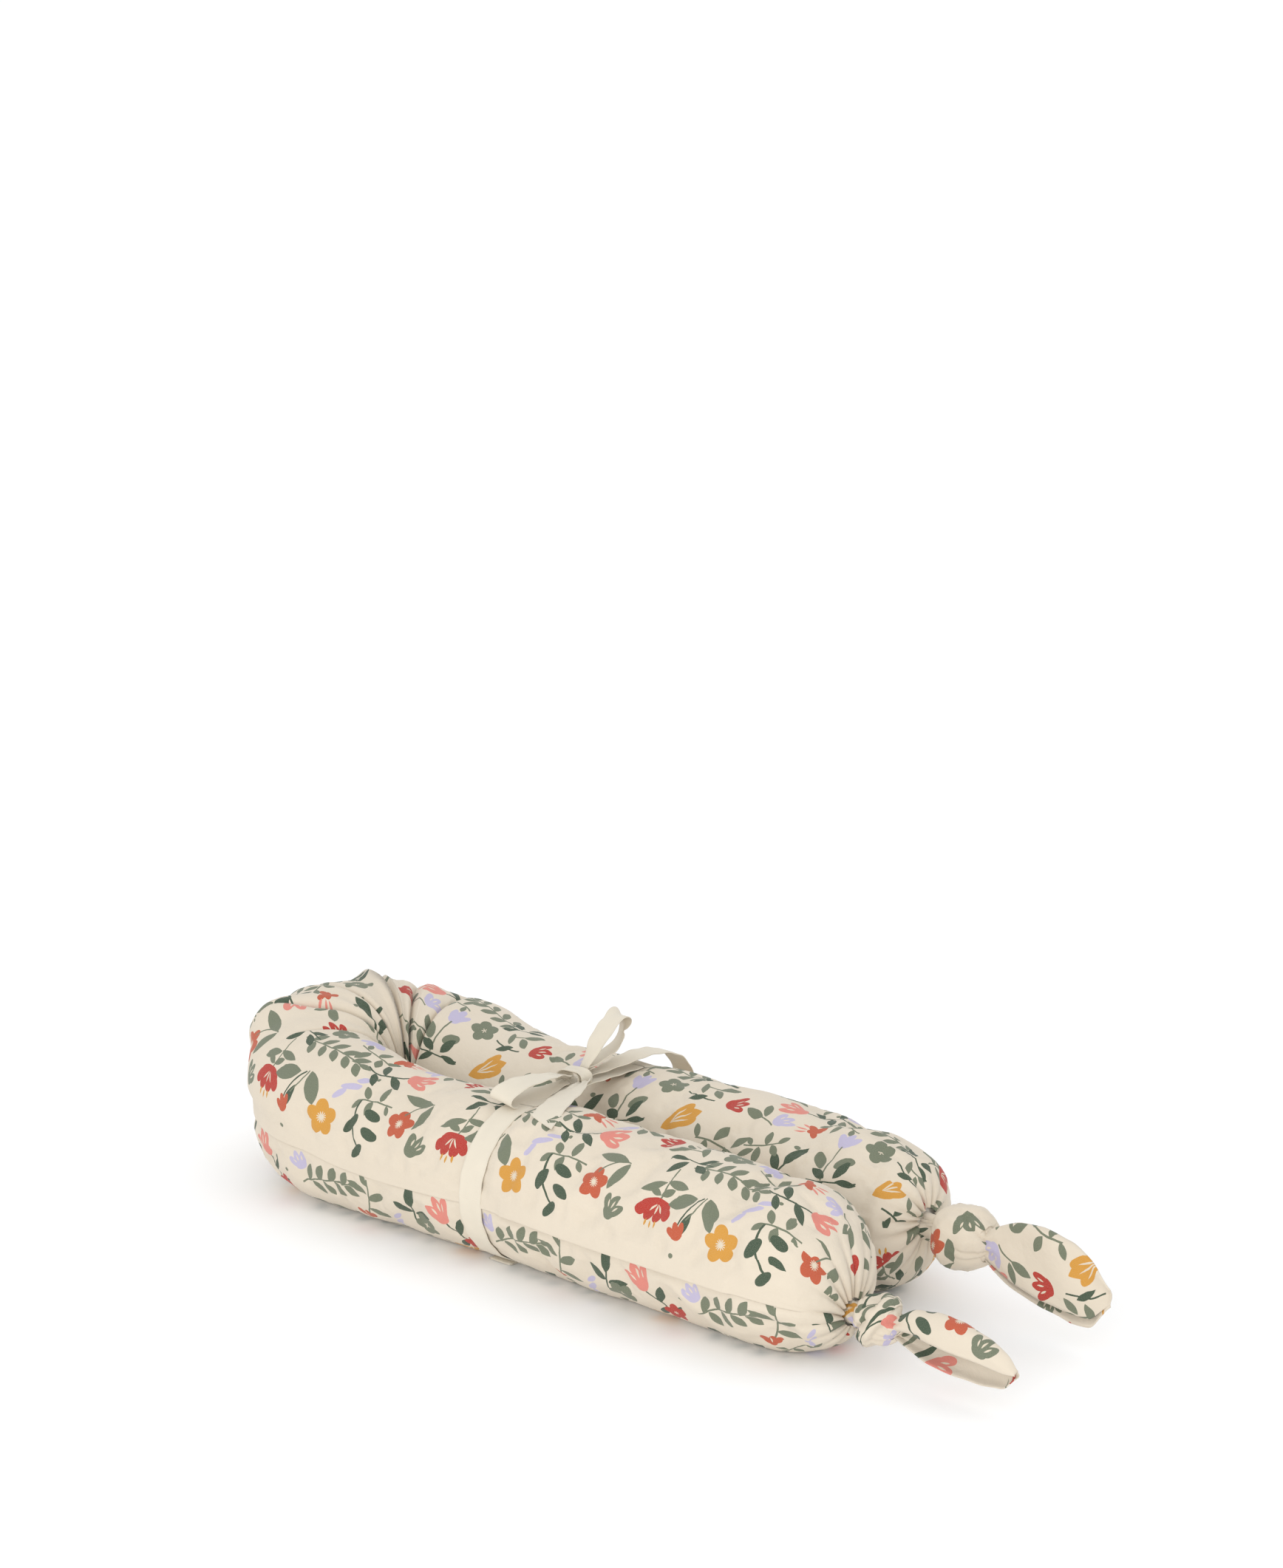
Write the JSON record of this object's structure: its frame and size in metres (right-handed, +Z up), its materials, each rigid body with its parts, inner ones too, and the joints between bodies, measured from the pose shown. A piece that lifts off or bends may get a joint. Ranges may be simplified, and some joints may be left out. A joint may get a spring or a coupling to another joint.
{
  "type": "nursing pillow",
  "caption": "Long stuffed cotton tube folded into a U, with knotted ends, a tape tied round both legs in a bow, and a concealed zip in the cover.",
  "frame": {"origin": "middle of the pillow's footprint, on the floor", "axes": "+X along the two legs towards the knots, +Y towards the far leg, +Z up"},
  "size_m": [0.9752, 0.3306, 0.2091],
  "materials": {
    "printed_cotton": "matt plain-weave cotton, printed with small flowers and leaves on cream",
    "casing_cotton": "plain undyed cotton",
    "polyester_fibre": "loose hollow fibre",
    "tape_cotton": "matt cream cotton tape",
    "zip_nylon": "cream nylon coil and woven tape",
    "zip_metal": "cream lacquered metal",
    "label_satin": "blank white satin"
  },
  "bodies": {
    "rear": {"rear_cover": "printed_cotton", "rear_casing": "casing_cotton", "rear_fill": "polyester_fibre", "tie_band": "tape_cotton", "bow_knot": "tape_cotton"},
    "near_leg": {"near_cover": "printed_cotton", "near_casing": "casing_cotton", "near_fill": "polyester_fibre", "near_neck": "printed_cotton", "near_knot": "printed_cotton", "zip_tape_upper": "zip_nylon", "zip_tape_lower": "zip_nylon", "zip_coil": "zip_nylon", "zip_stop_rear": "zip_metal", "zip_stop_front": "zip_metal"},
    "far_leg": {"far_cover": "printed_cotton", "far_casing": "casing_cotton", "far_fill": "polyester_fibre", "far_neck": "printed_cotton", "far_knot": "printed_cotton", "care_label": "label_satin"},
    "near_tail": {"near_tail": "printed_cotton"},
    "far_tail": {"far_tail": "printed_cotton"},
    "zip_slider": {"zip_slider": "zip_metal"},
    "zip_pull": {"zip_pull": "zip_metal"},
    "bow_loop_left": {"bow_loop_left": "tape_cotton"},
    "bow_loop_right": {"bow_loop_right": "tape_cotton"},
    "bow_tail_front": {"bow_tail_front": "tape_cotton"},
    "bow_tail_back": {"bow_tail_back": "tape_cotton"}
  },
  "joints": [
    {"name": "near_leg_splay", "type": "hinge", "parent": "rear", "child": "near_leg", "pos_m": [-0.08632, -0.161, 0], "axis": [0, 0, -1], "range_deg": [0, 20]},
    {"name": "far_leg_splay", "type": "hinge", "parent": "rear", "child": "far_leg", "pos_m": [-0.08632, 0.145, 0], "axis": [0, 0, 1], "range_deg": [0, 20]},
    {"name": "near_tail_flop", "type": "hinge", "parent": "near_leg", "child": "near_tail", "pos_m": [0.34758, -0.086, 0.047], "axis": [0, 0, -1], "range_deg": [-25, 45]},
    {"name": "far_tail_flop", "type": "hinge", "parent": "far_leg", "child": "far_tail", "pos_m": [0.31958, 0.07, 0.078], "axis": [0, 0, 1], "range_deg": [-25, 45]},
    {"name": "zip_slide", "type": "slide", "parent": "near_leg", "child": "zip_slider", "axis": [-1, 0, 0], "range_m": [0, 0.244]},
    {"name": "zip_pull_flip", "type": "hinge", "parent": "zip_slider", "child": "zip_pull", "pos_m": [0.19868, -0.1647, 0.0715], "axis": [0, 0, 1], "range_deg": [0, 170]},
    {"name": "bow_loop_left_lift", "type": "hinge", "parent": "rear", "child": "bow_loop_left", "pos_m": [-0.12032, -0.0242, 0.1479], "axis": [-1, 0, 0], "range_deg": [0, 45]},
    {"name": "bow_loop_right_lift", "type": "hinge", "parent": "rear", "child": "bow_loop_right", "pos_m": [-0.12032, 0.0082, 0.15845], "axis": [1, 0, 0], "range_deg": [0, 25]},
    {"name": "bow_tail_front_lift", "type": "hinge", "parent": "rear", "child": "bow_tail_front", "pos_m": [-0.10432, -0.008, 0.1479], "axis": [0, -1, 0], "range_deg": [0, 50]},
    {"name": "bow_tail_back_lift", "type": "hinge", "parent": "rear", "child": "bow_tail_back", "pos_m": [-0.12032, 0.0082, 0.1479], "axis": [1, 0, 0], "range_deg": [0, 20]}
  ]
}
